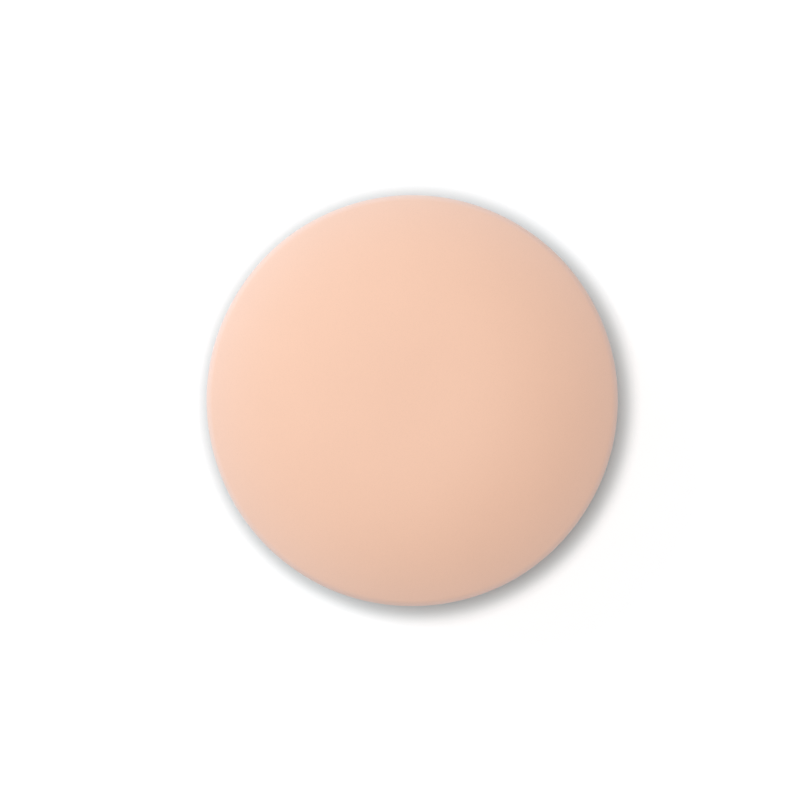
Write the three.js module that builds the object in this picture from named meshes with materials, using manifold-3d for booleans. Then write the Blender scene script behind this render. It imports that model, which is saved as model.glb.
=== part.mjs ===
// A round cushion puff for face powder, 55 mm across: a domed foam pad wrapped in a smooth polyurethane
// skin, with a satin ribbon across its back for two fingers. It lies face up on its bowed ribbon.
// Millimetres, +Z up. The origin is on the surface below, under the middle of the puff, and the
// ribbon runs along X.
import * as THREE from "three";
import { mergeVertices } from "three/addons/utils/BufferGeometryUtils.js";
import Module from "manifold-3d";

const wasm = await Module();
wasm.setup();

// Skin: one moulded sheet over the face and the side, whose hem is turned in and glued to the back
const puffDiameter = 55;
const crownHeight = 5.7; // from the widest line up to the top of the face
const crownFullness = 3; // exponent: how far out the face stays high
const crownEdgeRadius = 0.8; // of the round where the face turns down at the widest line
const rollDepth = 3.0; // from the widest line down to the hem's underside
const rollInset = 2.6; // from the widest line in to where the hem lies flat
const skinThickness = 0.9;
const hemThickness = 0.7; // the hem is pressed thinner than the face
const hemWidth = 2.6;
const cavityEdgeRadius = 0.2; // of the same round on the inner face of the skin

// Back cover: a cloth disc with a flat border under the hem and a low pillow inside it
const coverThickness = 0.5;
const coverCrown = 1.6;
const coverEdgeGap = 0.3;

// Ribbon: a satin strap whose cut ends are held between the hem and the back cover
const ribbonWidth = 20;
const ribbonThickness = 0.4;
const ribbonFlatLength = 14; // the stretch that lies on the surface
const fingerGap = 5; // from the ribbon's flat stretch up to the back cover
const ribbonBendGap = 0.3; // from the hem's inner edge to where the ribbon starts to bow

// Hot-melt ring between the hem and the back cover, with a pocket for each end of the ribbon
const bondFilm = 0.15; // the glue left between the hem and the ribbon's ends
const bondEndWall = 0.4; // the glue beyond each end of the ribbon
const bondPocketGap = 0.3;

// Filling: a firm core, a film that keeps make-up out of it, and a soft layer behind the face
const coreThickness = 4.2;
const filmThickness = 0.1;
const fillGap = 0.1; // between curved layers

// How finely the curves are cut into facets
const roundSegments = 48;
const outerDomeSteps = 8;
const outerEdgeSteps = 3;
const outerRollSteps = 4;
const innerDomeSteps = 5;
const innerEdgeSteps = 1;
const innerRollSteps = 3;
const coreSideSteps = 6;
const pillowSteps = 5;
const bowSteps = 14;

const cutOverrun = 1; // how far every cutting tool reaches past what it cuts
const weldShare = 0.001; // corners closer than this share of the skin's thickness are one corner

// Heights above the surface that the ribbon rests on
const coverLowest = ribbonThickness + fingerGap;
const coverUnderside = coverLowest + coverCrown;
const coverTop = coverUnderside + coverThickness;
const hemTop = coverUnderside - ribbonThickness - bondFilm;
const hemUnderside = hemTop - hemThickness;
const widestHeight = hemUnderside + rollDepth;
const coreBottom = coverLowest + coverThickness + fillGap;
const filmBottom = coreBottom + coreThickness;
const filmTop = filmBottom + filmThickness;

// Radii
const widestRadius = puffDiameter / 2;
const flatHemRadius = widestRadius - rollInset;
const hemInnerRadius = flatHemRadius - hemWidth;
const ribbonEndRadius = flatHemRadius - bondEndWall;
const ribbonBendX = Math.sqrt(hemInnerRadius ** 2 - (ribbonWidth / 2) ** 2) - ribbonBendGap;

// The space inside the skin
const cavityRadius = widestRadius - skinThickness;
const cavityCrown = crownHeight - skinThickness;
const cavityRollInset = rollInset - skinThickness;
const cavityRollDepth = rollDepth - hemThickness;

const quarterTurn = Math.PI / 2;

function evenShares(steps) {
  return Array.from({ length: steps + 1 }, (_, step) => step / steps);
}

// The domed face, from its top on the axis out to a round edge that stands upright at the widest line
function crownProfile(radius, height, edgeRadius, domeSteps, edgeSteps) {
  const edgeStart = radius - edgeRadius;
  const place = (r, edgeRise) => {
    const domeRise = (height - edgeRadius) * (1 - (r / radius) ** crownFullness);
    return new THREE.Vector2(r, widestHeight + domeRise + edgeRise);
  };
  const dome = evenShares(domeSteps).map((share) => place(share * edgeStart, edgeRadius));
  const edge = evenShares(edgeSteps).map((share) => {
    const angle = share * quarterTurn;
    return place(edgeStart + edgeRadius * Math.sin(angle), edgeRadius * Math.cos(angle));
  });
  return [...dome, ...edge.slice(1)];
}

// The side rolling under, from the widest line down to the flat of the hem
function rollProfile(inset, depth, steps) {
  return evenShares(steps).map((share) => {
    const angle = share * quarterTurn;
    const r = flatHemRadius + inset * Math.cos(angle);
    return new THREE.Vector2(r, widestHeight - depth * Math.sin(angle));
  });
}

// The outer and the inner face of the skin, from the top on the axis round to the flat of the hem
function outerProfile() {
  return [
    ...crownProfile(widestRadius, crownHeight, crownEdgeRadius, outerDomeSteps, outerEdgeSteps),
    ...rollProfile(rollInset, rollDepth, outerRollSteps).slice(1),
  ];
}

function cavityProfile() {
  return [
    ...crownProfile(cavityRadius, cavityCrown, cavityEdgeRadius, innerDomeSteps, innerEdgeSteps),
    ...rollProfile(cavityRollInset, cavityRollDepth, innerRollSteps).slice(1),
  ];
}

function cavityRadiusAt(height) {
  const wall = cavityProfile();
  const below = wall.findIndex((point) => point.y <= height);
  const [upper, lower] = [wall[below - 1], wall[below]];
  const share = (upper.y - height) / (upper.y - lower.y);
  return upper.x + share * (lower.x - upper.x);
}

// The back's low pillow, from its lowest point on the axis out to the flat border
function pillowProfile(borderHeight) {
  return evenShares(pillowSteps).map((share) => {
    const drop = coverCrown * (1 - share ** 2) ** 2;
    return new THREE.Vector2(share * ribbonBendX, borderHeight - drop);
  });
}

// A solid turned about Z from a profile that goes round its half section anticlockwise
function turned(profile) {
  const geometry = new THREE.LatheGeometry(profile, roundSegments);
  return geometry.rotateX(quarterTurn);
}

function toSolid(geometry) {
  const bare = new THREE.BufferGeometry();
  bare.setAttribute("position", geometry.getAttribute("position"));
  bare.setIndex(geometry.getIndex());
  const merged = mergeVertices(bare, weldShare * skinThickness);
  return new wasm.Manifold(
    new wasm.Mesh({
      numProp: 3,
      vertProperties: new Float32Array(merged.getAttribute("position").array),
      triVerts: new Uint32Array(merged.getIndex().array),
    }),
  );
}

function toGeometry(solid) {
  const mesh = solid.getMesh();
  const geometry = new THREE.BufferGeometry();
  geometry.setAttribute("position", new THREE.BufferAttribute(mesh.vertProperties, 3));
  geometry.setIndex(new THREE.BufferAttribute(mesh.triVerts, 1));
  geometry.computeVertexNormals();
  return geometry;
}

function disc(radius, bottom, top) {
  return turned([
    new THREE.Vector2(0, bottom),
    new THREE.Vector2(radius, bottom),
    new THREE.Vector2(radius, top),
    new THREE.Vector2(0, top),
  ]);
}

function faceSkin() {
  return turned([
    ...cavityProfile(),
    new THREE.Vector2(hemInnerRadius, hemTop),
    new THREE.Vector2(hemInnerRadius, hemUnderside),
    ...outerProfile().reverse(),
  ]);
}

function backCover() {
  const edgeRadius = cavityRadiusAt(coverUnderside) - coverEdgeGap;
  return turned([
    ...pillowProfile(coverUnderside),
    new THREE.Vector2(edgeRadius, coverUnderside),
    new THREE.Vector2(edgeRadius, coverTop),
    ...pillowProfile(coverTop).reverse(),
  ]);
}

function foamCore() {
  const borderHeight = coverTop + fillGap;
  const side = evenShares(coreSideSteps).map((share) => {
    const height = borderHeight + share * (filmBottom - borderHeight);
    return new THREE.Vector2(cavityRadiusAt(height) - fillGap, height);
  });
  return turned([...pillowProfile(borderHeight), ...side, new THREE.Vector2(0, filmBottom)]);
}

function barrierFilm() {
  const narrowest = Math.min(cavityRadiusAt(filmBottom), cavityRadiusAt(filmTop));
  return disc(narrowest - fillGap, filmBottom, filmTop);
}

function faceFoam() {
  const dome = cavityProfile()
    .filter((point) => point.y > filmTop + fillGap)
    .map((point) => new THREE.Vector2(Math.max(point.x - fillGap, 0), point.y - fillGap));
  const rim = new THREE.Vector2(cavityRadiusAt(filmTop + fillGap) - fillGap, filmTop);
  return turned([new THREE.Vector2(0, filmTop), rim, ...dome.reverse()]);
}

// How far the ribbon's middle plane has risen at a place along it: flat, then an S-curve, then flat
function ribbonRise(x) {
  const bowStart = ribbonFlatLength / 2;
  const along = THREE.MathUtils.clamp((Math.abs(x) - bowStart) / (ribbonBendX - bowStart), 0, 1);
  const fullRise = coverUnderside - ribbonThickness;
  return (fullRise * (1 - Math.cos(Math.PI * along))) / 2;
}

function ribbonSlope(x) {
  const bowStart = ribbonFlatLength / 2;
  const bowLength = ribbonBendX - bowStart;
  const along = (Math.abs(x) - bowStart) / bowLength;
  if (along <= 0 || along >= 1) return 0;
  const fullRise = coverUnderside - ribbonThickness;
  return (Math.sign(x) * fullRise * Math.PI * Math.sin(Math.PI * along)) / (2 * bowLength);
}

function ribbonSide(offset) {
  const bowStart = ribbonFlatLength / 2;
  const bow = evenShares(bowSteps).map((share) => bowStart + share * (ribbonBendX - bowStart));
  const right = [...bow, flatHemRadius + cutOverrun];
  const places = [...right.map((x) => -x).reverse(), ...right];
  return places.map((x) => {
    const lean = Math.atan(ribbonSlope(x));
    const middle = ribbonThickness / 2 + ribbonRise(x);
    return new THREE.Vector2(x - offset * Math.sin(lean), middle + offset * Math.cos(lean));
  });
}

// The ribbon's outline seen from its edge, pulled out to its width and cut round at its ends
function fingerRibbon() {
  const under = ribbonSide(-ribbonThickness / 2);
  const over = ribbonSide(ribbonThickness / 2);
  const outline = new THREE.Shape([...under, ...over.reverse()]);
  const strap = new THREE.ExtrudeGeometry(outline, { depth: ribbonWidth, bevelEnabled: false });
  strap.translate(0, 0, -ribbonWidth / 2).rotateX(quarterTurn);
  const cutter = disc(ribbonEndRadius, -cutOverrun, coverTop);
  return toGeometry(toSolid(strap).intersect(toSolid(cutter)));
}

function hemBond() {
  const ring = turned([
    new THREE.Vector2(hemInnerRadius, hemTop),
    new THREE.Vector2(flatHemRadius, hemTop),
    new THREE.Vector2(flatHemRadius, coverUnderside),
    new THREE.Vector2(hemInnerRadius, coverUnderside),
    new THREE.Vector2(hemInnerRadius, hemTop),
  ]);
  const pocketDepth = ribbonThickness + cutOverrun;
  const pocketWidth = ribbonWidth + 2 * bondPocketGap;
  const across = new THREE.BoxGeometry(puffDiameter, pocketWidth, pocketDepth);
  across.translate(0, 0, coverUnderside - ribbonThickness + pocketDepth / 2);
  const round = disc(ribbonEndRadius + bondEndWall / 2, hemTop, coverUnderside + cutOverrun);
  const pockets = toSolid(across).intersect(toSolid(round));
  return toGeometry(toSolid(ring).subtract(pockets));
}

const skinFinish = new THREE.MeshStandardMaterial({ color: 0xf3c9b1, roughness: 0.6, metalness: 0 });
const clothFinish = new THREE.MeshStandardMaterial({ color: 0xf1cdb8, roughness: 0.85, metalness: 0 });
const satinFinish = new THREE.MeshStandardMaterial({ color: 0xf4d3c0, roughness: 0.4, metalness: 0 });
const softFoamFinish = new THREE.MeshStandardMaterial({ color: 0xfbf6ee, roughness: 0.95, metalness: 0 });
const coreFoamFinish = new THREE.MeshStandardMaterial({ color: 0xf5ead6, roughness: 0.95, metalness: 0 });
const filmFinish = new THREE.MeshStandardMaterial({ color: 0xe6eef2, roughness: 0.15, metalness: 0 });
const glueFinish = new THREE.MeshStandardMaterial({ color: 0xf0e2c8, roughness: 0.35, metalness: 0 });

const puff = new THREE.Group();

function addPiece(name, geometry, material) {
  const mesh = new THREE.Mesh(geometry, material);
  mesh.name = name;
  puff.add(mesh);
}

addPiece("face_skin", faceSkin(), skinFinish);
addPiece("face_foam", faceFoam(), softFoamFinish);
addPiece("barrier_film", barrierFilm(), filmFinish);
addPiece("foam_core", foamCore(), coreFoamFinish);
addPiece("back_cover", backCover(), clothFinish);
addPiece("hem_bond", hemBond(), glueFinish);
addPiece("finger_ribbon", fingerRibbon(), satinFinish);

export default puff;
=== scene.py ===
import math

import bmesh
import bpy
from bpy.props import FloatProperty, FloatVectorProperty, IntProperty, PointerProperty
from bpy.types import Operator, Panel, PropertyGroup
from mathutils import Matrix, Vector, noise


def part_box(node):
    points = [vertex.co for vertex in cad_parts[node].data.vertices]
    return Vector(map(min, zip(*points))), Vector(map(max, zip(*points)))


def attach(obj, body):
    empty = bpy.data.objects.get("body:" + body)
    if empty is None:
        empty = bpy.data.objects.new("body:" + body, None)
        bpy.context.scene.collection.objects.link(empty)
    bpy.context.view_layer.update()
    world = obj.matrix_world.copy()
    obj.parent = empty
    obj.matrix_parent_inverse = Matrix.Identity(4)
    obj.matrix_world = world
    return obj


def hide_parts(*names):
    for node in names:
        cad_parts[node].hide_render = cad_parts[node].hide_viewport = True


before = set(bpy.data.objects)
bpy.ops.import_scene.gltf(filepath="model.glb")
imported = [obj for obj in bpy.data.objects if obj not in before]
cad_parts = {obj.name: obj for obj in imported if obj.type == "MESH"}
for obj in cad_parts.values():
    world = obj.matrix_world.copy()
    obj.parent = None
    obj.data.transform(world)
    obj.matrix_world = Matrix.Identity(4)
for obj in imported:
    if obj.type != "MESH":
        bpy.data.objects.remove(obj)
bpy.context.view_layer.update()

bl_info = {
    "name": "Round Powder Puff",
    "version": (1, 0, 0),
    "blender": (4, 5, 0),
    "location": "3D View > Sidebar > Puff",
    "description": "A cushion puff with a wrapped skin, foam filling, cloth back and satin finger ribbon",
    "category": "Object",
}

BODY = "root"

MM = 0.001

# The lowest and the highest corner of each piece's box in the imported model
SKIN_LOW, SKIN_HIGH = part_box("face_skin")
SOFT_LOW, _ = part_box("face_foam")
FILM_LOW, FILM_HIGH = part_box("barrier_film")
_, CORE_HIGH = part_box("foam_core")
_, COVER_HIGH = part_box("back_cover")
GLUE_LOW, GLUE_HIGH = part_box("hem_bond")
_, RIBBON_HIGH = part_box("finger_ribbon")
RIBBON_END_THICKNESS = 0.4 * MM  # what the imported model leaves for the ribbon's ends

# Cloth settles at ten times its size, because the solver is unsteady at a few millimetres
CLOTH_SCALE = 10
CLOTH_FRAMES = 20
CLOTH_QUALITY = 6
CLOTH_MASS = 0.15
CLOTH_BENDING = 0.4
SKIN_PRESSURE = 3.0
SKIN_SLACK = 0.04
BACK_PRESSURE = -2.0
BACK_SLACK = 0.02
BACK_HOLD = 2 * MM  # over which the glue takes hold of the back cloth

# How finely the curves are cut
SKIN_SEGMENTS = 240
FOAM_SEGMENTS = 160
GLUE_SEGMENTS = 480
DOME_STEPS = 40
SKIN_EDGE_STEPS = 12
FILLING_EDGE_STEPS = 4
ROLL_STEPS = 16
HEM_STEPS = 8
FLAT_STEPS = 16
CORE_SIDE_STEPS = 12
PILLOW_STEPS = 40
RIM_SEGMENTS = 3
GLUE_STEPS = 10
SHEET_CELLS = 72
RIBBON_CELLS_ALONG = 192
RIBBON_CELLS_ACROSS = 48
BOW_STEPS = 120
WELD_REACH = 0.001 * MM
SHARP_ANGLE = math.radians(35)

# Where the skin that turns under changes, by how far round it has turned (turned_under)
GATHERED_TURNS = (0.3, 1.8)
RAISED_TURNS = (0.85, 1.3)
FREE_TURNS = (0.35, 0.7)
GLUED_TURNS = (0.75, 1.0)
GATHER_DRIFT = 0.35  # how far the gathers wander in one turn
GATHER_SHARPNESS = 2.6
GATHER_ROUNDNESS = 0.12

# Reaches from the ribbon's edge and end
HEM_RAISED_BESIDE = (0.1 * MM, 1.6 * MM)
GLUE_POCKET_BESIDE = (0.3 * MM, 0.6 * MM)
GLUE_POCKET_BEYOND = (0.15 * MM, 0.35 * MM)

GLUE_LEAST = 0.02 * MM  # least thickness under a ribbon's end
INNER_WALL = 0.01 * MM  # how near to the inner radius a vertex of the inner wall lies
SWELL_MEAN, SWELL_SWING = 0.6, 0.8

RIBBON_SIDE_GAP = 0.02 * MM  # to the sides of the ribbon's box
RIBBON_END_GAP = 0.03 * MM
BOW_SHARE = 0.86  # of the grid's length, the rest is the flat ends
BOW_FREE = (0.5, 1.0)  # shares of the bow's length over which its waves and curl end
CURL_START = 0.72  # share of the half width
SELVEDGE_INNER = 0.7  # share of the selvedge's width that has its full thickness

# Sizes in the finishes
SHEEN_FULLNESS = 5  # exponent: how near to the edge the skin keeps its colour before the painted sheen pales it
FOAM_MOTTLE = 5 * MM
FILM_CREASE = 2.2 * MM
FILM_CREASE_DEPTH = 0.05 * MM
KNIT_DRIFT = 6 * MM  # over which the wales wander
KNIT_NAP = 0.12 * MM
KNIT_DEPTH = 0.06 * MM
COURSE_SHARE = 0.72  # height of a stitch as a share of its width
STITCH_LEAN = 0.55
GLUE_SMEAR = 1.8 * MM
GLUE_BUBBLE = 0.5 * MM  # from one bubble to the next
GLUE_RELIEF = 0.05 * MM
SATIN_THREAD = 0.09 * MM
# Across one painted sheen streak along the ribbon
SATIN_SHEEN_STREAK = 1.3 * MM
SATIN_STRETCH = 0.03  # how finely the threads change along them, as a share of across
SATIN_PICK = 0.14 * MM  # from one cross thread to the next
SELVEDGE_RIB = 0.42 * MM
SATIN_DEPTH = 0.02 * MM

FLOOR_REACH = 3  # metres from the middle to each side


def length(name, description, default):
    return FloatProperty(
        name=name, description=description, default=default, min=0, subtype="DISTANCE", unit="LENGTH"
    )


def share(name, description, default):
    return FloatProperty(name=name, description=description, default=default, min=0, max=1, subtype="FACTOR")


def colour(name, description, default):
    return FloatVectorProperty(
        name=name, description=description, default=default, size=3, min=0, max=1, subtype="COLOR"
    )


def angle(name, description, degrees):
    return FloatProperty(
        name=name, description=description, default=math.radians(degrees), subtype="ANGLE", unit="ROTATION"
    )


class PuffSkinSettings(PropertyGroup):
    """Sizes and finish of the skin that wraps the face, the side and the edge of the back"""

    diameter: length("Diameter", "Across the puff at its widest line", SKIN_HIGH.x - SKIN_LOW.x)
    crown_height: length("Crown height", "From the widest line up to the top of the face", 5.7 * MM)
    crown_fullness: FloatProperty(
        name="Crown fullness", description="How far out the face stays high", default=3, min=1
    )
    edge_radius: length("Edge radius", "Of the round where the face turns down at the widest line", 0.8 * MM)
    inner_edge_radius: length("Inner edge radius", "Of the filling at the same place", 0.1 * MM)
    roll_depth: length("Roll depth", "From the widest line down to the hem", 3.0 * MM)
    roll_inset: length("Roll inset", "From the widest line in to where the hem lies flat", 2.6 * MM)
    hem_width: length("Hem width", "Of the flat hem on the back", 2.6 * MM)
    thickness: length("Thickness", "Of the skin on the face", 0.9 * MM)
    hem_share: share("Hem share", "Thickness of the pressed hem as a share of the skin's", 0.76)
    lump_height: length("Lump height", "Of the soft unevenness of the filled face", 0.05 * MM)
    lump_size: length("Lump size", "Across one soft lump", 14 * MM)
    gather_depth: length("Gather depth", "Of the gathers where the skin turns under", 0.09 * MM)
    gather_size: length("Gather size", "From one gather to the next at the hem", 3.0 * MM)
    settle_depth: length("Settling", "How far the turned-under skin may settle by itself", 0.05 * MM)
    ribbon_ridge: length("Ribbon ridge", "How far the hem lies lower over each ribbon end", 0.18 * MM)
    pore_size: length("Pore size", "Across one pore of the skin", 0.16 * MM)
    pore_depth: length("Pore depth", "Of the pores and the grain", 0.014 * MM)
    grain_size: length("Grain size", "Across one grain of the skin", 0.256 * MM)
    mottle_size: length("Mottle size", "Across one faint patch of the skin", 9 * MM)
    colour: colour("Colour", "Of the skin in the middle of the face", (0.865, 0.523, 0.372))
    # The edge and rim colours are a painted sheen: the skin's colour turns paler towards its edge and on its
    # round edge
    edge_sheen_colour: colour("Edge colour", "Of the skin stretched near the edge", (0.828, 0.539, 0.420))
    rim_sheen_colour: colour("Rim colour", "Of the skin on the round edge, stretched most", (0.85, 0.605, 0.52))


class PuffFillingSettings(PropertyGroup):
    """Sizes and colours of the two foams and of the film between them"""

    gap: length("Gap", "Between the filling and what holds it", 0.1 * MM)
    cell_size: length("Cell size", "Across one cell of the soft foam", 0.35 * MM)
    core_cell_size: length("Core cell size", "Across one cell of the firm foam", 0.22 * MM)
    dent_size: length("Dent size", "Across one dent of the soft foam", 1.1 * MM)
    core_dent_size: length("Core dent size", "Across one dent of the firm foam", 0.8 * MM)
    rim_round: length("Rim round", "Width of the round on the foams' rims", 0.25 * MM)
    soft_colour: colour("Soft foam", "Colour of the soft foam", (0.965, 0.922, 0.855))
    core_colour: colour("Firm foam", "Colour of the firm foam", (0.913, 0.823, 0.672))
    film_thickness: length("Film thickness", "Of the film", 0.06 * MM)
    film_crinkle: length("Film crinkle", "Depth of the film's crinkles", 0.015 * MM)
    crinkle_size: length("Crinkle size", "Across one crinkle of the film", 2.5 * MM)
    film_colour: colour("Film", "Colour of the film", (0.791, 0.855, 0.888))


class PuffBackSettings(PropertyGroup):
    """Sizes and finish of the cloth back and of the glue that holds the hem on it"""

    crown: length("Pillow depth", "How far the middle of the back stands out", 1.6 * MM)
    settle_depth: length("Cloth settling", "How far the cloth may settle by itself", 0.1 * MM)
    cloth_thickness: length("Cloth thickness", "Of the back cloth", 0.45 * MM)
    edge_gap: length("Edge gap", "From the cloth to what is beside it", 0.04 * MM)
    glue_film: length("Glue film", "Least thickness of the glue", 0.12 * MM)
    glue_round: length("Glue round", "How far the glue's outer edge rises off the hem", 0.12 * MM)
    glue_round_width: length("Glue round width", "Of the stretch that rises", 0.7 * MM)
    glue_swell: length("Glue swell", "How far the glue swells out at the hem's edge", 0.12 * MM)
    swell_size: length("Swell size", "From one swelling of the glue to the next", 1.7 * MM)
    stitch_size: length("Stitch size", "From one knitted wale to the next", 0.32 * MM)
    colour: colour("Cloth colour", "Of the back cloth", (0.880, 0.590, 0.455))
    glue_colour: colour("Glue colour", "Of the hot-melt glue", (0.871, 0.761, 0.578))


class PuffRibbonSettings(PropertyGroup):
    """Sizes and finish of the finger ribbon"""

    flat_length: length("Flat length", "Of the stretch that lies on the surface", 14 * MM)
    bend_gap: length("Bend gap", "From the hem's edge to where the ribbon starts to bow", 0.3 * MM)
    thickness: length("Thickness", "Of the ribbon", 0.34 * MM)
    selvedge: length("Selvedge", "Width of the firm woven edge", 0.8 * MM)
    wave: length("Wave", "Height of the ribbon's soft waves", 0.08 * MM)
    wave_size: length("Wave size", "From one soft wave to the next", 7 * MM)
    weave_share: share("Weave share", "Thickness of the satin as a share of the selvedge's", 0.8)
    curl: length("Curl", "How far the long edges lift off the surface", 0.16 * MM)
    colour: colour("Ribbon colour", "Of the satin", (0.91, 0.64, 0.51))


class PuffStageSettings(PropertyGroup):
    """Camera, lamps and floor"""

    focal_length: FloatProperty(name="Focal length", description="Of the lens, in mm", default=250, min=1)
    frame_pixels: IntProperty(name="Frame", description="Side of the square picture in pixels", default=800)
    puff_column: FloatProperty(name="Column", description="Pixel column of the puff's middle", default=412.2)
    puff_row: FloatProperty(name="Row", description="Pixel row of the puff's middle", default=400.7)
    puff_radius: FloatProperty(name="Radius", description="Radius of the puff in pixels", default=205.6)
    sky_share: share("Sky", "Share of the light that comes from all round", 0.24)
    sky_colour: colour("Sky colour", "Of the light that comes from all round", (0.96, 0.985, 1.0))
    key_share: share("Key lamp", "Share that comes from high on the upper left", 0.63)
    key_tilt: angle("Key tilt", "Of the key lamp from straight above", 7.4)
    key_width: angle("Key width", "Across the key lamp as the puff sees it", 20)
    key_bearing: angle("Key bearing", "Where the key lamp stands, anticlockwise from +X", 139)
    side_share: share("Side lamp", "Share that comes from low on the upper left", 0.19)
    side_colour: colour("Side colour", "Of the side lamp's light", (0.71, 0.885, 1.0))
    side_tilt: angle("Side tilt", "Of the side lamp from straight above", 70)
    side_width: angle("Side width", "Across the side lamp as the puff sees it", 30)
    side_bearing: angle("Side bearing", "Where the side lamp stands, anticlockwise from +X", 147)
    floor_lift: share("Floor lift", "White added to the floor where the camera sees it", 0.175)
    # The contact settings paint a soft round shadow onto the floor, beside the shadows that the lamps cast
    painted_shadow_colour: colour("Contact shade", "The floor's colour in the puff's shade", (0.635, 0.65, 0.65))
    contact_spread: length("Contact spread", "How far out from the puff's edge the floor is dark", 1.87 * MM)
    contact_softness: length("Contact softness", "Half the width of the shade's soft edge", 1.45 * MM)
    contact_right: length("Contact right", "How far right the shade lies", 0.57 * MM)
    contact_down: length("Contact down", "How far down the picture the shade lies", 0.44 * MM)
    floor_white: share("Floor white", "Of the floor's colour", 0.95)


def smooth_step(low, high, value):
    ramp = min(max((value - low) / (high - low), 0), 1)
    return ramp * ramp * (3 - 2 * ramp)


def crown_profile(skin, inset, edge_radius, edge_steps):
    """The domed face as (radius, height) points, from the top on the axis out to its round edge."""
    radius = skin.diameter / 2 - inset
    dome_height = skin.crown_height - inset - edge_radius
    edge_start = radius - edge_radius
    angles = [math.pi / 2 * step / edge_steps for step in range(1, edge_steps + 1)]
    rises = [(edge_start * step / DOME_STEPS, edge_radius) for step in range(DOME_STEPS + 1)]
    rises += [(edge_start + edge_radius * math.sin(a), edge_radius * math.cos(a)) for a in angles]
    widest = widest_height(skin)
    return [
        (across, widest + edge_rise + dome_height * (1 - (across / radius) ** skin.crown_fullness))
        for across, edge_rise in rises
    ]


def roll_profile(skin, inset):
    """The side rolling under, from the widest line down to the flat of the hem."""
    reach, depth = skin.roll_inset - inset, skin.roll_depth - inset
    angles = [math.pi / 2 * step / ROLL_STEPS for step in range(1, ROLL_STEPS + 1)]
    widest = widest_height(skin)
    return [(flat_radius(skin) + reach * math.cos(a), widest - depth * math.sin(a)) for a in angles]


def widest_height(skin):
    """The height of the widest line."""
    return SKIN_LOW.z + skin.roll_depth


def flat_radius(skin):
    """How far out the hem lies flat."""
    return skin.diameter / 2 - skin.roll_inset


def radius_at(profile, height):
    """Where the side of the line passes a height."""
    for (upper_across, upper), (lower_across, lower) in zip(profile, profile[1:]):
        if upper > height >= lower:
            return upper_across + (upper - height) / (upper - lower) * (lower_across - upper_across)
    raise ValueError("the line doesn't pass this height")


def pillow_drop(back, across):
    """How far the middle of the back stands out below its flat border."""
    inside = min(across / ribbon_bend(), 1)
    return back.crown * (1 - inside ** 2) ** 2


def ribbon_bend():
    """How far from the middle the ribbon leaves the back."""
    scene = bpy.context.scene
    hem_radius = flat_radius(scene.puff_skin) - scene.puff_skin.hem_width
    return math.sqrt(hem_radius ** 2 - RIBBON_HIGH.y ** 2) - scene.puff_ribbon.bend_gap


def turned_under(skin, place):
    """How far round the skin has turned: 0 at the widest line, 1 where the hem lies flat, 2 at its edge."""
    down = (widest_height(skin) - place.z) / skin.roll_depth
    along_hem = (flat_radius(skin) - place.xy.length) / skin.hem_width
    return min(max(down, 0), 1) + max(along_hem, 0) if down > 0 else 0


def hem_shift(skin, place):
    """How far a place under the widest line stands out, from the gathers and the ribbon's ends."""
    turn = turned_under(skin, place)
    around = place.xy.normalized() * flat_radius(skin) / skin.gather_size
    fold = math.hypot(noise.noise(Vector((around.x, around.y, GATHER_DRIFT * turn))), GATHER_ROUNDNESS)
    gather = skin.gather_depth * (1 - GATHER_SHARPNESS * fold) * smooth_step(*GATHERED_TURNS, turn)
    beside = smooth_step(*HEM_RAISED_BESIDE, abs(place.y) - RIBBON_HIGH.y)
    return gather - skin.ribbon_ridge * beside * smooth_step(*RAISED_TURNS, turn)


def spun(profile, segments, closed=False):
    """A bmesh turned about Z from (radius, height) points, which may close into a ring."""
    bm = bmesh.new()
    verts = [bm.verts.new((across, 0, up)) for across, up in profile]
    edges = [bm.edges.new(pair) for pair in zip(verts, verts[1:])]
    if closed:
        edges.append(bm.edges.new((verts[-1], verts[0])))
    bmesh.ops.spin(
        bm, geom=verts + edges, cent=(0, 0, 0), axis=(0, 0, 1),
        angle=2 * math.pi, steps=segments, use_merge=True,
    )
    bmesh.ops.remove_doubles(bm, verts=bm.verts, dist=WELD_REACH)
    bmesh.ops.recalc_face_normals(bm, faces=bm.faces)
    return bm


def disc_sheet(radius):
    """A flat round bmesh of even square cells, without a pole in its middle."""
    bm = bmesh.new()
    bmesh.ops.create_grid(bm, x_segments=SHEET_CELLS, y_segments=SHEET_CELLS, size=1)
    for vert in bm.verts:
        x, y = vert.co.x, vert.co.y
        vert.co.x = radius * x * math.sqrt(1 - y * y / 2)
        vert.co.y = radius * y * math.sqrt(1 - x * x / 2)
    return bm


def settled(bm, held, pressure, slack, furthest):
    """Lets the bmesh settle as cloth where it isn't held, and moves no vertex further than furthest."""
    scene = bpy.context.scene
    mesh = bpy.data.meshes.new("settling")
    bm.to_mesh(mesh)
    mesh.transform(Matrix.Scale(CLOTH_SCALE, 4))
    sheet = bpy.data.objects.new("settling", mesh)
    scene.collection.objects.link(sheet)
    pins = add_weights(sheet, "held", [held(vert.co) for vert in bm.verts])
    cloth = sheet.modifiers.new("Cloth", "CLOTH")
    settings = cloth.settings
    settings.vertex_group_mass = pins.name
    settings.quality = CLOTH_QUALITY
    settings.mass = CLOTH_MASS
    settings.bending_stiffness = CLOTH_BENDING
    settings.shrink_min = -slack
    settings.use_pressure = True
    settings.uniform_pressure_force = pressure
    settings.effector_weights.gravity = 0
    cloth.collision_settings.use_collision = False
    cloth.point_cache.frame_start = 1
    cloth.point_cache.frame_end = CLOTH_FRAMES
    for number in range(1, CLOTH_FRAMES + 1):
        scene.frame_set(number)
    result = sheet.evaluated_get(bpy.context.evaluated_depsgraph_get())
    for vert, moved in zip(bm.verts, result.data.vertices):
        shift = moved.co / CLOTH_SCALE - vert.co
        vert.co += shift * min(furthest / shift.length, 1) if shift.length > 0 else shift
    bpy.data.objects.remove(sheet)
    bpy.data.meshes.remove(mesh)
    scene.frame_set(1)


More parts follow.
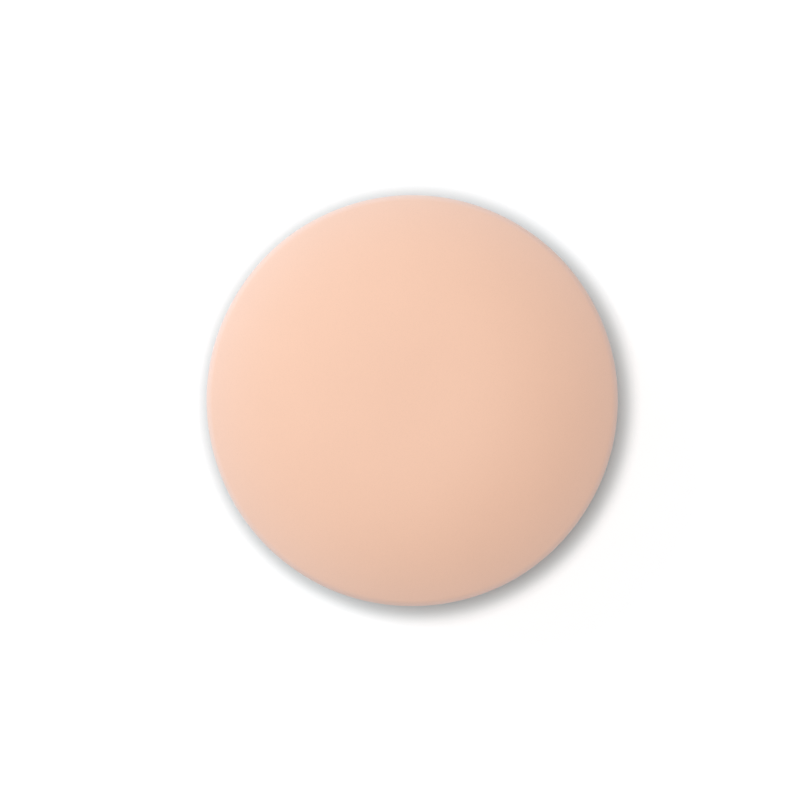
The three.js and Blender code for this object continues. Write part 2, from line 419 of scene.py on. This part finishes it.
def dent(bm, depth, size):
    """Moves each vertex in by up to the depth, as on a sawn or moulded surface."""
    bm.normal_update()
    moves = [(vert, vert.normal * depth * (noise.noise(vert.co / size) - 1) / 2) for vert in bm.verts]
    for vert, move in moves:
        vert.co += move


def round_rims(bm, width):
    """Rounds the edges at which two faces meet sharply."""
    sharp = [edge for edge in bm.edges if edge.is_manifold and edge.calc_face_angle() > SHARP_ANGLE]
    bmesh.ops.bevel(
        bm, geom=sharp, offset=width, segments=RIM_SEGMENTS, profile=0.5,
        affect="EDGES", material=-1, clamp_overlap=True,
    )


def new_piece(name, bm, material):
    """Makes the bmesh a smooth object at the origin, which rides on the puff."""
    mesh = bpy.data.meshes.new(name)
    bm.to_mesh(mesh)
    bm.free()
    mesh.shade_smooth()
    mesh.materials.append(material)
    piece = bpy.data.objects.new(name, mesh)
    bpy.context.scene.collection.objects.link(piece)
    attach(piece, BODY)
    return piece


def add_weights(piece, name, weights):
    """A vertex group with one weight for each vertex in turn."""
    group = piece.vertex_groups.new(name=name)
    for number, weight in enumerate(weights):
        group.add([number], weight, "REPLACE")
    return group


def add_wall(piece, thickness, offset):
    """Gives a sheet its thickness, above its faces where the offset is 1 and below them where it is -1."""
    wall = piece.modifiers.new("Wall", "SOLIDIFY")
    wall.thickness = thickness
    wall.offset = offset
    return wall


class Nodes:
    """Builds the nodes of one tree."""

    def __init__(self, tree):
        self.tree = tree
        tree.nodes.clear()

    def node(self, kind, inputs=None, **settings):
        made = self.tree.nodes.new(kind)
        for key, value in settings.items():
            setattr(made, key, value)
        for socket, value in (inputs or {}).items():
            self.feed(made.inputs[socket], value)
        return made

    def feed(self, socket, value):
        if isinstance(value, bpy.types.NodeSocket):
            self.tree.links.new(value, socket)
        else:
            socket.default_value = value

    def fit(self, value, low, high, new_low, new_high):
        made = self.node(
            "ShaderNodeMapRange",
            {"Value": value, "From Min": low, "From Max": high, "To Min": new_low, "To Max": new_high},
        )
        return made.outputs["Result"]

    def math(self, operation, first, second=0.0):
        return self.node("ShaderNodeMath", {0: first, 1: second}, operation=operation).outputs[0]

    def weighed(self, first, first_share, second, second_share):
        """The sum of two values, each times its share."""
        return self.math(
            "ADD", self.math("MULTIPLY", first, first_share), self.math("MULTIPLY", second, second_share)
        )

    def fits(self, first, second):
        """The sum of two fitted values, each given as (value, low, high, new low, new high)."""
        return self.math("ADD", self.fit(*first), self.fit(*second))

    def mix(self, first, second, amount):
        """One colour turning into another as amount goes from 0 to 1."""
        made = self.node("ShaderNodeMix", {"Factor": amount}, data_type="RGBA")
        ends = [socket for socket in made.inputs if socket.type == "RGBA"]
        self.feed(ends[0], first)
        self.feed(ends[1], second)
        return next(socket for socket in made.outputs if socket.type == "RGBA")

    def blend(self, first, second, amount):
        """One number turning into another as amount goes from 0 to 1."""
        made = self.node("ShaderNodeMix", {0: amount, 2: first, 3: second}, data_type="FLOAT")
        return made.outputs[0]


class Finish(Nodes):
    """Builds the nodes of one material."""

    def __init__(self, name):
        self.material = bpy.data.materials.new(name)
        self.material.use_nodes = True
        super().__init__(self.material.node_tree)

    def object_place(self):
        return self.node("ShaderNodeTexCoord").outputs["Object"]

    def cloud(self, place, size, detail=2.0, roughness=0.5):
        """Soft noise from 0 to 1, whose features are size across."""
        made = self.node(
            "ShaderNodeTexNoise",
            {"Vector": place, "Scale": 1 / size, "Detail": detail, "Roughness": roughness},
        )
        return made.outputs["Fac"]

    def cells(self, place, size):
        """How far a place is from the middle of its cell, in cells that are size across."""
        return self.node("ShaderNodeTexVoronoi", {"Vector": place, "Scale": 1 / size}).outputs["Distance"]

    def shade(self, colour, lightness):
        """The colour with its lightness multiplied, where that varies over the surface."""
        made = self.node("ShaderNodeVectorMath", {"Scale": lightness}, operation="SCALE")
        self.feed(made.inputs[0], colour)
        return made.outputs[0]

    def bump(self, height, depth, strength):
        made = self.node("ShaderNodeBump", {"Height": height, "Distance": depth, "Strength": strength})
        return made.outputs["Normal"]

    def surface(self, **sockets):
        """Ends the material in a Principled shader with these sockets, their spaces written as _."""
        values = {name.replace("_", " "): value for name, value in sockets.items()}
        shader = self.node("ShaderNodeBsdfPrincipled", values)
        self.node("ShaderNodeOutputMaterial", {"Surface": shader.outputs["BSDF"]})
        return self.material


def skin_finish(skin):
    """Smooth polyurethane skin: fine open pores, painted a little darker as painted shade, a soft grain, a
    faint mottle, and a painted sheen that pales it towards its edge.
    """
    finish = Finish("puff_skin")
    place = finish.object_place()
    mottle = finish.cloud(place, skin.mottle_size, detail=3.0)
    grain = finish.cloud(place, skin.grain_size, detail=4.0, roughness=0.6)
    pits = finish.fit(finish.cells(place, skin.pore_size), 0.0, 0.45, 0.0, 1.0)
    tone = finish.weighed(mottle, 0.6, grain, 0.4)
    relief = finish.weighed(pits, 0.6, grain, 0.4)
    # The pits are painted up to 4.5% darker: painted shade in the pores
    lightness = finish.fits((tone, 0.2, 0.8, 0.985, 1.015), (pits, 0, 1, -0.045, 0.005))
    return finish.surface(
        Base_Color=finish.shade(sheen_painted_colour(finish, skin, place), lightness),
        Roughness=finish.fit(grain, 0.2, 0.8, 0.52, 0.62),
        Specular_IOR_Level=0.35,
        Sheen_Weight=0.2,
        Sheen_Roughness=0.3,
        Normal=finish.bump(relief, skin.pore_depth, 0.8),
    )


def sheen_painted_colour(finish, skin, place):
    """The skin's colour with a painted sheen: paler towards the edge, and palest on the round edge above the
    widest line.
    """
    radius = skin.diameter / 2
    level = finish.node("ShaderNodeVectorMath", {0: place, 1: (1, 1, 0)}, operation="MULTIPLY")
    across = finish.node("ShaderNodeVectorMath", {0: level.outputs[0]}, operation="LENGTH").outputs["Value"]
    edge = finish.math("POWER", finish.math("DIVIDE", across, radius), SHEEN_FULLNESS)
    # Painted sheen: the colour pales towards the edge
    towards_edge = finish.mix([*skin.colour, 1], [*skin.edge_sheen_colour, 1], edge)
    # Painted sheen on the round edge where the face turns down, above the widest line
    rim = finish.fit(across, radius - skin.edge_radius, radius, 0, 1)
    up = finish.node("ShaderNodeSeparateXYZ", {0: place}).outputs["Z"]
    widest = widest_height(skin)
    above = finish.fit(up, widest - skin.edge_radius / 2, widest + skin.edge_radius / 4, 0, 1)
    return finish.mix(towards_edge, [*skin.rim_sheen_colour, 1], finish.math("MULTIPLY", rim, above))


class PUFF_OT_skin(Operator):
    """Makes the skin over the face and the side, with its hem turned in on the back"""

    bl_idname = "puff.skin"
    bl_label = "Wrapped skin"

    def execute(self, context):
        skin = context.scene.puff_skin
        steps = range(1, HEM_STEPS + 1)
        hem = [(flat_radius(skin) - skin.hem_width * step / HEM_STEPS, SKIN_LOW.z) for step in steps]
        crown = crown_profile(skin, 0, skin.edge_radius, SKIN_EDGE_STEPS)
        bm = spun([*crown, *roll_profile(skin, 0), *hem], SKIN_SEGMENTS)
        bm.normal_update()
        full_shares = [1 - self.pressed(skin, vert.co) for vert in bm.verts]
        places = [(vert, vert.co.copy(), vert.normal.copy()) for vert in bm.verts]
        for vert, place, out in places:
            lump = skin.lump_height * noise.noise(place / skin.lump_size)
            vert.co = place + out * (lump + hem_shift(skin, place))
        settled(bm, lambda place: self.held(skin, place), SKIN_PRESSURE, SKIN_SLACK, skin.settle_depth)
        piece = new_piece("wrapped_skin", bm, skin_finish(skin))
        full = add_weights(piece, "full_thickness", full_shares)
        wall = add_wall(piece, skin.thickness, -1)
        wall.use_even_offset = True
        wall.vertex_group = full.name
        wall.thickness_vertex_group = skin.hem_share
        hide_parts("face_skin")
        return {"FINISHED"}

    def held(self, skin, place):
        """The face is held by the foam behind it, and the flat hem by the glue."""
        turn = turned_under(skin, place)
        return 1 - smooth_step(*FREE_TURNS, turn) * (1 - smooth_step(*GLUED_TURNS, turn))

    def pressed(self, skin, place):
        """How far the skin has thinned: 0 on the face, 1 from its round edge on to the hem."""
        if turned_under(skin, place) > 0:
            return 1
        start = skin.diameter / 2 - skin.edge_radius
        return smooth_step(start - skin.roll_depth, start, place.xy.length)


def foam_finish(name, colour, cell_size):
    """Open-cell foam: round cells of uneven size, their hollows painted darker than the walls between them
    as painted shade.
    """
    finish = Finish(name)
    place = finish.object_place()
    cells = finish.cells(place, cell_size)
    small = finish.cells(place, 0.45 * cell_size)
    dents = finish.fits((cells, 0.1, 0.6, 0, 0.65), (small, 0.1, 0.6, 0, 0.35))
    mottle = finish.cloud(place, FOAM_MOTTLE, detail=3.0)
    # Painted shade: the cells' hollows are darker than the walls between them
    lightness = finish.fits((dents, 0, 1, 0.86, 1.02), (mottle, 0.2, 0.8, -0.02, 0.02))
    return finish.surface(
        Base_Color=finish.shade([*colour], lightness),
        Roughness=finish.fit(dents, 0, 1, 0.98, 0.85),
        Specular_IOR_Level=0.2,
        Normal=finish.bump(dents, 0.4 * cell_size, 0.8),
    )


def filling_wall(context):
    """The line that the filling keeps to, inside the skin."""
    skin = context.scene.puff_skin
    inset = skin.thickness + context.scene.puff_filling.gap
    crown = crown_profile(skin, inset, skin.inner_edge_radius, FILLING_EDGE_STEPS)
    return [*crown, *roll_profile(skin, inset)]


def flat_profile(radius, height):
    """A level line, from the axis out to its end."""
    return [(radius * step / FLAT_STEPS, height) for step in range(FLAT_STEPS + 1)]


class PUFF_OT_face_foam(Operator):
    """Makes the soft foam behind the face"""

    bl_idname = "puff.face_foam"
    bl_label = "Face foam"

    def execute(self, context):
        filling = context.scene.puff_filling
        wall = filling_wall(context)
        bottom = SOFT_LOW.z
        flat = flat_profile(radius_at(wall, bottom), bottom)
        dome = [point for point in wall if point[1] > bottom + filling.gap]
        bm = spun([*flat, *reversed(dome)], FOAM_SEGMENTS)
        round_rims(bm, filling.rim_round)
        dent(bm, filling.gap, filling.dent_size)
        finish = foam_finish("soft_foam", filling.soft_colour, filling.cell_size)
        piece = new_piece("face_foam_pad", bm, finish)
        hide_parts("face_foam")
        return {"FINISHED"}


class PUFF_OT_core_foam(Operator):
    """Makes the firm foam that gives the puff its body"""

    bl_idname = "puff.core_foam"
    bl_label = "Core foam"

    def execute(self, context):
        filling = context.scene.puff_filling
        back = context.scene.puff_back
        wall = filling_wall(context)
        border, top = COVER_HIGH.z + filling.gap, CORE_HIGH.z
        heights = [border + (top - border) * step / CORE_SIDE_STEPS for step in range(CORE_SIDE_STEPS + 1)]
        side = [(radius_at(wall, height), height) for height in heights]
        under = [side[0][0] * step / PILLOW_STEPS for step in range(PILLOW_STEPS)]
        pillow = [(across, border - pillow_drop(back, across)) for across in under]
        flat = flat_profile(side[-1][0], top)[:-1]
        bm = spun([*pillow, *side, *reversed(flat)], FOAM_SEGMENTS)
        round_rims(bm, filling.rim_round)
        dent(bm, filling.gap, filling.core_dent_size)
        finish = foam_finish("core_foam", filling.core_colour, filling.core_cell_size)
        piece = new_piece("core_foam_pad", bm, finish)
        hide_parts("foam_core")
        return {"FINISHED"}


def film_finish(colour):
    """Clear soft film with fine creases."""
    finish = Finish("barrier_film")
    crease = finish.cloud(finish.object_place(), FILM_CREASE, detail=3.0, roughness=0.6)
    return finish.surface(
        Base_Color=finish.shade([*colour], finish.fit(crease, 0.2, 0.8, 0.96, 1.04)),
        Roughness=finish.fit(crease, 0.2, 0.8, 0.10, 0.26),
        Transmission_Weight=0.75,
        IOR=1.5,
        Normal=finish.bump(crease, FILM_CREASE_DEPTH, 0.7),
    )


class PUFF_OT_film(Operator):
    """Makes the clear film between the two foams"""

    bl_idname = "puff.film"
    bl_label = "Clear film"

    def execute(self, context):
        filling = context.scene.puff_filling
        radius = radius_at(filling_wall(context), FILM_HIGH.z) - filling.gap
        bm = disc_sheet(radius)
        lowest = FILM_LOW.z + (FILM_HIGH.z - FILM_LOW.z - filling.film_thickness) / 2
        bmesh.ops.translate(bm, verts=bm.verts, vec=(0, 0, lowest))
        dent(bm, filling.film_crinkle, filling.crinkle_size)
        piece = new_piece("clear_film", bm, film_finish(filling.film_colour))
        add_wall(piece, filling.film_thickness, 1)
        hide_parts("barrier_film")
        return {"FINISHED"}


def knit_finish(back):
    """Fine plain knit: columns of small V stitches, with a soft nap, and painted shade between the stitches.
    """
    finish = Finish("back_cloth")
    place = finish.object_place()
    drift = finish.cloud(place, KNIT_DRIFT)
    axes = finish.node("ShaderNodeSeparateXYZ", {0: place}).outputs
    column = finish.math("DIVIDE", axes["X"], back.stitch_size)
    wale = finish.math("ADD", column, finish.math("MULTIPLY", drift, 0.5))
    arm = finish.math("MULTIPLY", finish.math("PINGPONG", wale, 0.5), 2.0)
    course = finish.math("DIVIDE", axes["Y"], COURSE_SHARE * back.stitch_size)
    leaning = finish.math("ADD", course, finish.math("MULTIPLY", arm, STITCH_LEAN))
    loop = finish.math("MULTIPLY", finish.math("PINGPONG", leaning, 0.5), 2.0)
    round_arm = finish.math("SINE", finish.math("MULTIPLY", arm, math.pi))
    height = finish.math("MULTIPLY", round_arm, finish.fit(loop, 0, 1, 0.35, 1.0))
    nap = finish.cloud(place, KNIT_NAP, detail=4.0, roughness=0.65)
    relief = finish.weighed(height, 0.75, nap, 0.25)
    # Painted shade: the low parts between the stitches are darker
    lightness = finish.fits((height, 0, 1, 0.90, 1.02), (drift, 0.2, 0.8, -0.02, 0.02))
    return finish.surface(
        Base_Color=finish.shade([*back.colour], lightness),
        Roughness=finish.fit(nap, 0.2, 0.8, 0.80, 0.95),
        Sheen_Weight=0.25,
        Sheen_Roughness=0.5,
        Specular_IOR_Level=0.25,
        Normal=finish.bump(relief, KNIT_DEPTH, 0.8),
    )


class PUFF_OT_back_cloth(Operator):
    """Makes the cloth that closes the back and swells over the foam"""

    bl_idname = "puff.back_cloth"
    bl_label = "Back cloth"

    def execute(self, context):
        back = context.scene.puff_back
        radius = COVER_HIGH.x - back.edge_gap
        border = GLUE_HIGH.z + back.edge_gap / 2
        bm = disc_sheet(radius)
        for vert in bm.verts:
            vert.co.z = border - pillow_drop(back, vert.co.xy.length)
        settled(bm, self.held, BACK_PRESSURE, BACK_SLACK, back.settle_depth)
        piece = new_piece("back_cloth", bm, knit_finish(back))
        add_wall(piece, back.cloth_thickness, 1)
        smoother = piece.modifiers.new("Smooth", "SUBSURF")
        smoother.levels = 1
        smoother.render_levels = 1
        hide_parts("back_cover")
        return {"FINISHED"}

    def held(self, place):
        """The glue takes hold of the cloth outside its pillow."""
        bend = ribbon_bend()
        return smooth_step(bend, bend + BACK_HOLD, place.xy.length)


def glue_finish(colour):
    """Set hot-melt glue: amber-white, half clear, with smears and small bubbles."""
    finish = Finish("hot_melt_glue")
    place = finish.object_place()
    smear = finish.cloud(place, GLUE_SMEAR, detail=3.0, roughness=0.6)
    bubbles = finish.fit(finish.cells(place, GLUE_BUBBLE), 0.05, 0.2, 0.0, 1.0)
    relief = finish.weighed(smear, 0.7, bubbles, 0.3)
    return finish.surface(
        Base_Color=finish.shade([*colour], finish.fit(smear, 0.2, 0.8, 0.94, 1.05)),
        Roughness=finish.fit(smear, 0.2, 0.8, 0.22, 0.4),
        Transmission_Weight=0.3,
        IOR=1.48,
        Normal=finish.bump(relief, GLUE_RELIEF, 0.6),
    )


class PUFF_OT_glue(Operator):
    """Makes the ring of glue between the hem and the back cloth, with a pocket for each ribbon end"""

    bl_idname = "puff.glue"
    bl_label = "Glue ring"

    def execute(self, context):
        skin = context.scene.puff_skin
        outer = GLUE_HIGH.x
        inner = outer - skin.hem_width
        low, high = GLUE_LOW.z, GLUE_HIGH.z
        middle = (low + high) / 2
        under = [(inner + (outer - inner) * step / GLUE_STEPS, low) for step in range(GLUE_STEPS + 1)]
        over = [(across, high) for across, _ in reversed(under)]
        section = [*under, (outer, middle), *over, (inner, middle)]
        bm = spun(section, GLUE_SEGMENTS, closed=True)
        for vert in bm.verts:
            self.shape(context, vert, inner, outer)
        bmesh.ops.recalc_face_normals(bm, faces=bm.faces)
        piece = new_piece("glue_ring", bm, glue_finish(context.scene.puff_back.glue_colour))
        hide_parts("hem_bond")
        return {"FINISHED"}

    def shape(self, context, vert, inner, outer):
        """Lays the glue on the hem below, under the ribbon's ends, and lets it swell a little inwards."""
        back = context.scene.puff_back
        low, high = GLUE_LOW.z, GLUE_HIGH.z
        across = vert.co.xy.length
        hem_top = low - hem_shift(context.scene.puff_skin, Vector((vert.co.x, vert.co.y, SKIN_LOW.z)))
        hem_top += back.glue_round * smooth_step(outer - back.glue_round_width, outer, across)
        hem_top = min(max(hem_top, low), high - back.glue_film)
        in_width = 1 - smooth_step(*GLUE_POCKET_BESIDE, abs(vert.co.y) - RIBBON_HIGH.y)
        in_length = 1 - smooth_step(*GLUE_POCKET_BEYOND, across - RIBBON_HIGH.x)
        top = max(high - RIBBON_END_THICKNESS * in_width * in_length, hem_top + GLUE_LEAST)
        up = (vert.co.z - low) / (high - low)
        if across < inner + INNER_WALL:
            bulge = SWELL_MEAN + SWELL_SWING * noise.noise(vert.co / back.swell_size)
            swell = back.glue_swell * bulge * math.sin(math.pi * up)
            vert.co.xy *= (inner - swell) / inner
        vert.co.z = hem_top + (top - hem_top) * up


def satin_finish(ribbon):
    """Woven satin: fine threads along the ribbon, close cross threads, firm ribbed edges, and painted sheen
    streaks along the ribbon.
    """
    finish = Finish("satin_ribbon")
    weave = finish.node("ShaderNodeUVMap", uv_map="along_ribbon").outputs["UV"]
    axes = finish.node("ShaderNodeSeparateXYZ", {0: weave}).outputs
    half = RIBBON_HIGH.y
    across = finish.math("ABSOLUTE", axes["X"])
    edge = finish.fit(across, half - ribbon.selvedge, half - 0.8 * ribbon.selvedge, 0.0, 1.0)
    drawn_out = finish.node("ShaderNodeMapping", {"Vector": weave, "Scale": (1, SATIN_STRETCH, 1)})
    threads = finish.cloud(drawn_out.outputs["Vector"], SATIN_THREAD, detail=3.0, roughness=0.6)
    # Painted sheen: lighter and darker streaks along the ribbon
    sheen_streaks = finish.cloud(drawn_out.outputs["Vector"], SATIN_SHEEN_STREAK)
    pick = finish.math("PINGPONG", finish.math("DIVIDE", axes["Y"], SATIN_PICK), 0.5)
    rib = finish.math("PINGPONG", finish.math("DIVIDE", axes["Y"], SELVEDGE_RIB), 0.5)
    relief = finish.blend(finish.weighed(threads, 0.8, pick, 0.35), finish.math("MULTIPLY", rib, 2.2), edge)
    lightness = finish.fits((threads, 0.25, 0.75, 0.95, 1.03), (sheen_streaks, 0.2, 0.8, -0.02, 0.02))
    return finish.surface(
        Base_Color=finish.shade([*ribbon.colour], lightness),
        Roughness=finish.blend(finish.fit(threads, 0.2, 0.8, 0.34, 0.48), 0.65, edge),
        Specular_IOR_Level=0.3,
        Anisotropic=0.5,
        Sheen_Weight=0.05,
        Sheen_Roughness=0.3,
        Normal=finish.bump(relief, SATIN_DEPTH, 0.6),
    )


class PUFF_OT_ribbon(Operator):
    """Makes the satin ribbon that bows across the back"""

    bl_idname = "puff.ribbon"
    bl_label = "Finger ribbon"

    def execute(self, context):
        ribbon = context.scene.puff_ribbon
        half_width = RIBBON_HIGH.y - RIBBON_SIDE_GAP
        end_radius = RIBBON_HIGH.x - RIBBON_END_GAP
        path = self.half_path(ribbon)
        bm = bmesh.new()
        bmesh.ops.create_grid(bm, x_segments=RIBBON_CELLS_ALONG, y_segments=RIBBON_CELLS_ACROSS, size=1)
        flat_places = {}
        for vert in bm.verts:
            flat_places[vert.index] = self.bow(ribbon, path, vert, half_width, end_radius)
        uv_layer = bm.loops.layers.uv.new("along_ribbon")
        for face in bm.faces:
            for loop in face.loops:
                loop[uv_layer].uv = flat_places[loop.vert.index]
        piece = new_piece("satin_strap", bm, satin_finish(ribbon))
        start, full = half_width - ribbon.selvedge, half_width - SELVEDGE_INNER * ribbon.selvedge
        amounts = [smooth_step(start, full, abs(vert.co.y)) for vert in piece.data.vertices]
        firm = add_weights(piece, "selvedge", amounts)
        wall = add_wall(piece, ribbon.thickness, 1)
        wall.vertex_group = firm.name
        wall.thickness_vertex_group = ribbon.weave_share
        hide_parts("finger_ribbon")
        flat_length = 2 * (path[-1][0] + end_radius - ribbon_bend())
        return {"FINISHED"}

    def bow(self, ribbon, path, vert, half_width, end_radius):
        """Moves a vertex of the grid onto the bowed ribbon, and returns its place on the flat one."""
        side = 1 if vert.co.x >= 0 else -1
        along, across = abs(vert.co.x), vert.co.y * half_width
        bow_length = path[-1][0]
        distance = bow_length * min(along / BOW_SHARE, 1)
        place, height = self.on_path(path, distance)
        if along > BOW_SHARE:
            tab_length = math.sqrt(end_radius ** 2 - across ** 2) - ribbon_bend()
            beyond = tab_length * (along - BOW_SHARE) / (1 - BOW_SHARE)
            distance += beyond
            place += beyond
        free = 1 - smooth_step(*BOW_FREE, distance / bow_length)
        curl = ribbon.curl * smooth_step(CURL_START, 1, abs(across) / half_width) * free
        swing = noise.noise(Vector((side * distance, across, 0)) / ribbon.wave_size)
        wave = ribbon.wave * (0.5 + swing) * free
        vert.co = (side * place, across, height + curl + max(wave, 0))
        return across, side * distance

    def half_path(self, ribbon):
        """Half of the ribbon's underside seen from its edge: (length so far, place along X, height)."""
        start = ribbon.flat_length / 2
        bend = ribbon_bend()
        rise = RIBBON_HIGH.z - RIBBON_END_THICKNESS
        path = [(0.0, 0.0, 0.0)]
        for step in range(BOW_STEPS + 1):
            part = step / BOW_STEPS
            place = start + part * (bend - start)
            soft = part - math.sin(2 * math.pi * part) / (2 * math.pi)
            height = rise * ((1 - math.cos(math.pi * part)) / 2 + soft) / 2
            walked, last_place, last_height = path[-1]
            path.append((walked + math.hypot(place - last_place, height - last_height), place, height))
        return path

    def on_path(self, path, distance):
        """The place along X and the height at a length along the path."""
        for (first, place, height), (second, next_place, next_height) in zip(path, path[1:]):
            if distance <= second:
                part = (distance - first) / (second - first) if second > first else 0
                return place + part * (next_place - place), height + part * (next_height - height)
        return path[-1][1:]


class PUFF_OT_stage(Operator):
    """Makes the white floor, the soft light and the camera straight above"""

    bl_idname = "puff.stage"
    bl_label = "Stage"

    def execute(self, context):
        stage = context.scene.puff_stage
        context.scene.view_settings.view_transform = "Standard"
        self.floor(context, stage)
        self.sky(context, stage)
        self.lamp("key_lamp", stage.key_share, stage.key_tilt, stage.key_width, stage.key_bearing)
        side = self.lamp(
            "side_lamp", stage.side_share, stage.side_tilt, stage.side_width, stage.side_bearing
        )
        side.color = stage.side_colour
        self.camera(context, stage)
        return {"FINISHED"}

    def lamp(self, name, light_share, tilt, width, bearing):
        """A far lamp, tilted from straight above, that gives its share of the light on the floor."""
        data = bpy.data.lights.new(name, "SUN")
        data.energy = math.pi * light_share / math.cos(tilt)
        data.angle = width
        lamp = bpy.data.objects.new(name, data)
        toward = Vector((math.cos(bearing), math.sin(bearing), 0))
        source = toward * math.sin(tilt) + Vector((0, 0, math.cos(tilt)))
        lamp.rotation_euler = source.to_track_quat("Z", "Y").to_euler()
        lamp.location = source
        bpy.context.scene.collection.objects.link(lamp)
        return data

    def floor(self, context, stage):
        bm = bmesh.new()
        bmesh.ops.create_grid(bm, x_segments=1, y_segments=1, size=FLOOR_REACH)
        mesh = bpy.data.meshes.new("floor")
        bm.to_mesh(mesh)
        bm.free()
        white = Finish("white_floor")
        camera_ray = white.node("ShaderNodeLightPath").outputs["Is Camera Ray"]
        from_below = white.node("ShaderNodeNewGeometry").outputs["Backfacing"]
        # Painted shadow: the floor's colour darkens in a soft disc beside the puff
        painted_shadow = self.painted_contact_shadow(context, white, stage)
        matt = white.node("ShaderNodeBsdfDiffuse", {"Color": white.shade(painted_shadow, stage.floor_white)})
        seen_lift = white.math("MULTIPLY", camera_ray, stage.floor_lift)
        lift = white.node("ShaderNodeEmission", {"Color": painted_shadow, "Strength": seen_lift})
        lit = white.node("ShaderNodeAddShader", {0: matt.outputs[0], 1: lift.outputs[0]})
        clear = white.node("ShaderNodeBsdfTransparent")
        seen_through = white.math("MULTIPLY", camera_ray, from_below)
        mixed = white.node("ShaderNodeMixShader", {0: seen_through, 1: lit.outputs[0], 2: clear.outputs[0]})
        white.node("ShaderNodeOutputMaterial", {"Surface": mixed.outputs[0]})
        mesh.materials.append(white.material)
        floor = bpy.data.objects.new("floor", mesh)
        context.scene.collection.objects.link(floor)

    def painted_contact_shadow(self, context, white, stage):
        """White, but for a painted shadow: a soft round shade beside the puff and a little to its lower
        right.
        """
        middle = (stage.contact_right, -stage.contact_down, 0)
        place = white.node("ShaderNodeTexCoord").outputs["Object"]
        away = white.node("ShaderNodeVectorMath", {0: place, 1: middle}, operation="DISTANCE")
        edge = context.scene.puff_skin.diameter / 2 + stage.contact_spread
        low, high = edge - stage.contact_softness, edge + stage.contact_softness
        soft = white.node(
            "ShaderNodeMapRange",
            {"Value": away.outputs["Value"], "From Min": low, "From Max": high},
            interpolation_type="SMOOTHSTEP",
        )
        return white.mix([*stage.painted_shadow_colour, 1], [1, 1, 1, 1], soft.outputs["Result"])

    def sky(self, context, stage):
        """All-round light, which looks white to the camera, in reflections and through clear pieces."""
        world = bpy.data.worlds.new("white_room")
        world.use_nodes = True
        room = Nodes(world.node_tree)
        rays = room.node("ShaderNodeLightPath").outputs
        seen = room.math("MAXIMUM", rays["Is Camera Ray"], rays["Is Glossy Ray"])
        seen = room.math("MAXIMUM", seen, rays["Is Transmission Ray"])
        colour = room.mix([*stage.sky_colour, 1], [1, 1, 1, 1], seen)
        strength = room.fit(seen, 0, 1, stage.sky_share, 1)
        sky = room.node("ShaderNodeBackground", {"Color": colour, "Strength": strength})
        room.node("ShaderNodeOutputWorld", {"Surface": sky.outputs[0]})
        context.scene.world = world

    def camera(self, context, stage):
        """A long lens straight above, with the puff's middle and radius at their pixels."""
        data = bpy.data.cameras.new("camera_above")
        data.lens = stage.focal_length
        skin = context.scene.puff_skin
        metres_per_pixel = skin.diameter / 2 / stage.puff_radius
        distance = stage.frame_pixels * metres_per_pixel * data.lens / data.sensor_width
        middle = stage.frame_pixels / 2
        widest = widest_height(skin)
        camera = bpy.data.objects.new("camera_above", data)
        camera.location = (
            (middle - stage.puff_column) * metres_per_pixel,
            (stage.puff_row - middle) * metres_per_pixel,
            widest + distance,
        )
        context.scene.collection.objects.link(camera)
        context.scene.camera = camera


class PUFF_PT_maker(Panel):
    """Lists the pieces of the puff and their sizes"""

    bl_idname = "PUFF_PT_maker"
    bl_label = "Powder puff"
    bl_space_type = "VIEW_3D"
    bl_region_type = "UI"
    bl_category = "Puff"

    def draw(self, context):
        for settings_name, operators in PANEL_ROWS:
            box = self.layout.box()
            settings = getattr(context.scene, settings_name)
            for name in settings.__annotations__:
                box.prop(settings, name)
            for operator in operators:
                box.operator(operator.bl_idname)


PANEL_ROWS = [
    ("puff_filling", [PUFF_OT_face_foam, PUFF_OT_film, PUFF_OT_core_foam]),
    ("puff_back", [PUFF_OT_back_cloth, PUFF_OT_glue]),
    ("puff_ribbon", [PUFF_OT_ribbon]),
    ("puff_skin", [PUFF_OT_skin]),
    ("puff_stage", [PUFF_OT_stage]),
]

CLASSES = [
    PuffSkinSettings,
    PuffFillingSettings,
    PuffBackSettings,
    PuffRibbonSettings,
    PuffStageSettings,
    PUFF_OT_face_foam,
    PUFF_OT_film,
    PUFF_OT_core_foam,
    PUFF_OT_back_cloth,
    PUFF_OT_glue,
    PUFF_OT_ribbon,
    PUFF_OT_skin,
    PUFF_OT_stage,
    PUFF_PT_maker,
]


def register():
    for made in CLASSES:
        bpy.utils.register_class(made)
    scene = bpy.types.Scene
    scene.puff_skin = PointerProperty(type=PuffSkinSettings)
    scene.puff_filling = PointerProperty(type=PuffFillingSettings)
    scene.puff_back = PointerProperty(type=PuffBackSettings)
    scene.puff_ribbon = PointerProperty(type=PuffRibbonSettings)
    scene.puff_stage = PointerProperty(type=PuffStageSettings)


def unregister():
    for name, _ in PANEL_ROWS:
        delattr(bpy.types.Scene, name)
    for made in reversed(CLASSES):
        bpy.utils.unregister_class(made)


def main():
    register()
    bpy.ops.puff.stage()
    bpy.ops.puff.face_foam()
    bpy.ops.puff.core_foam()
    bpy.ops.puff.film()
    bpy.ops.puff.back_cloth()
    bpy.ops.puff.glue()
    bpy.ops.puff.ribbon()
    bpy.ops.puff.skin()


if __name__ == "__main__":
    main()
